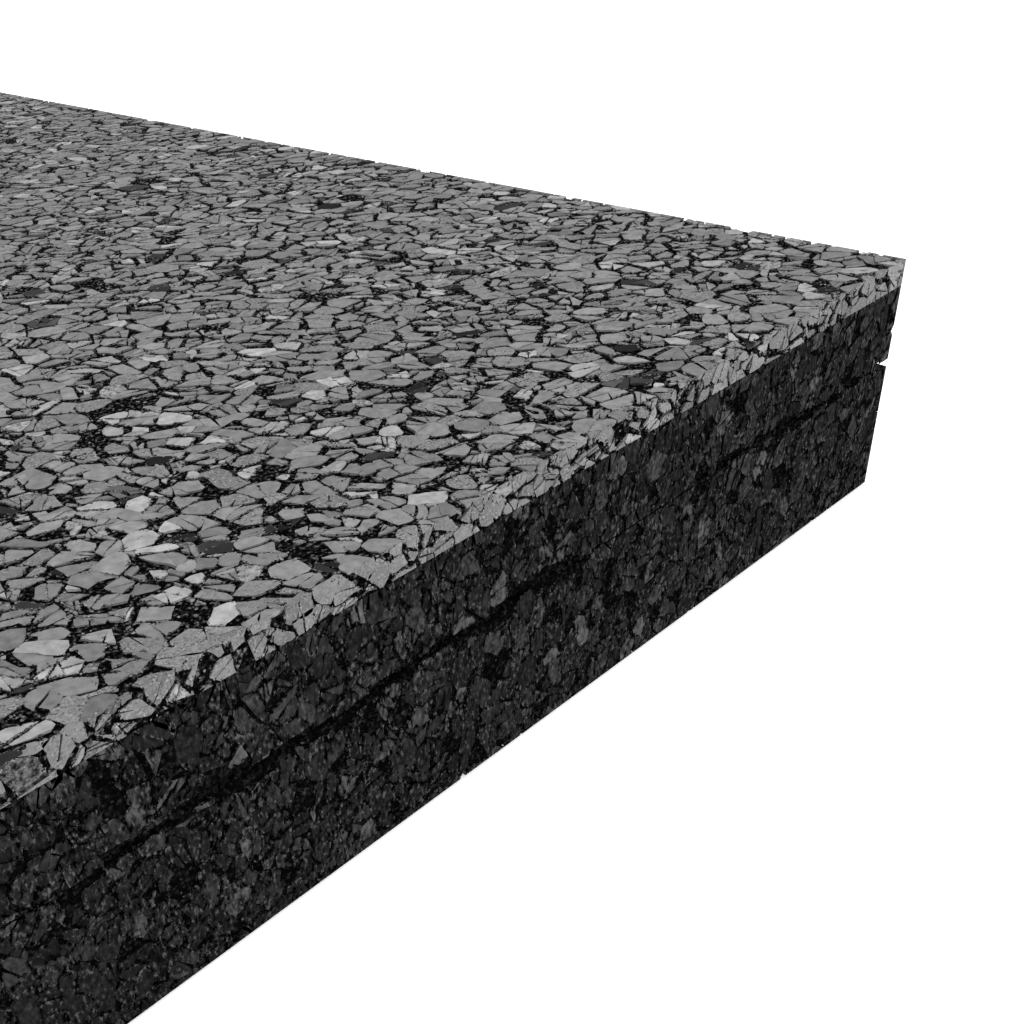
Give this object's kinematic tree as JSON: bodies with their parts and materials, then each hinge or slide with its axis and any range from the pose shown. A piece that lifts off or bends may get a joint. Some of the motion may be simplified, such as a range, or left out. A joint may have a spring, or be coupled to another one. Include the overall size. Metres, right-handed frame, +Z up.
{
  "type": "granite-look rubber slab",
  "caption": "Flat square-edged work slab of bonded rubber granulate with a granite-look chip wear course on a black base.",
  "frame": {"origin": "middle of the underside", "axes": "+Z up through the thickness, towards the wear course; +X and +Y along the two equal sides"},
  "size_m": [0.5, 0.5, 0.05],
  "materials": {
    "wear_course": "mid-grey angular chips in a black binder, matt, cut flush on top",
    "upper_base_course": "coarse black rubber granulate, matt, cut at the sides",
    "lower_base_course": "coarse black rubber granulate, matt, cut at the sides"
  },
  "bodies": {
    "root": {"wear_course": "wear_course", "upper_base_course": "upper_base_course", "lower_base_course": "lower_base_course"}
  },
  "joints": []
}
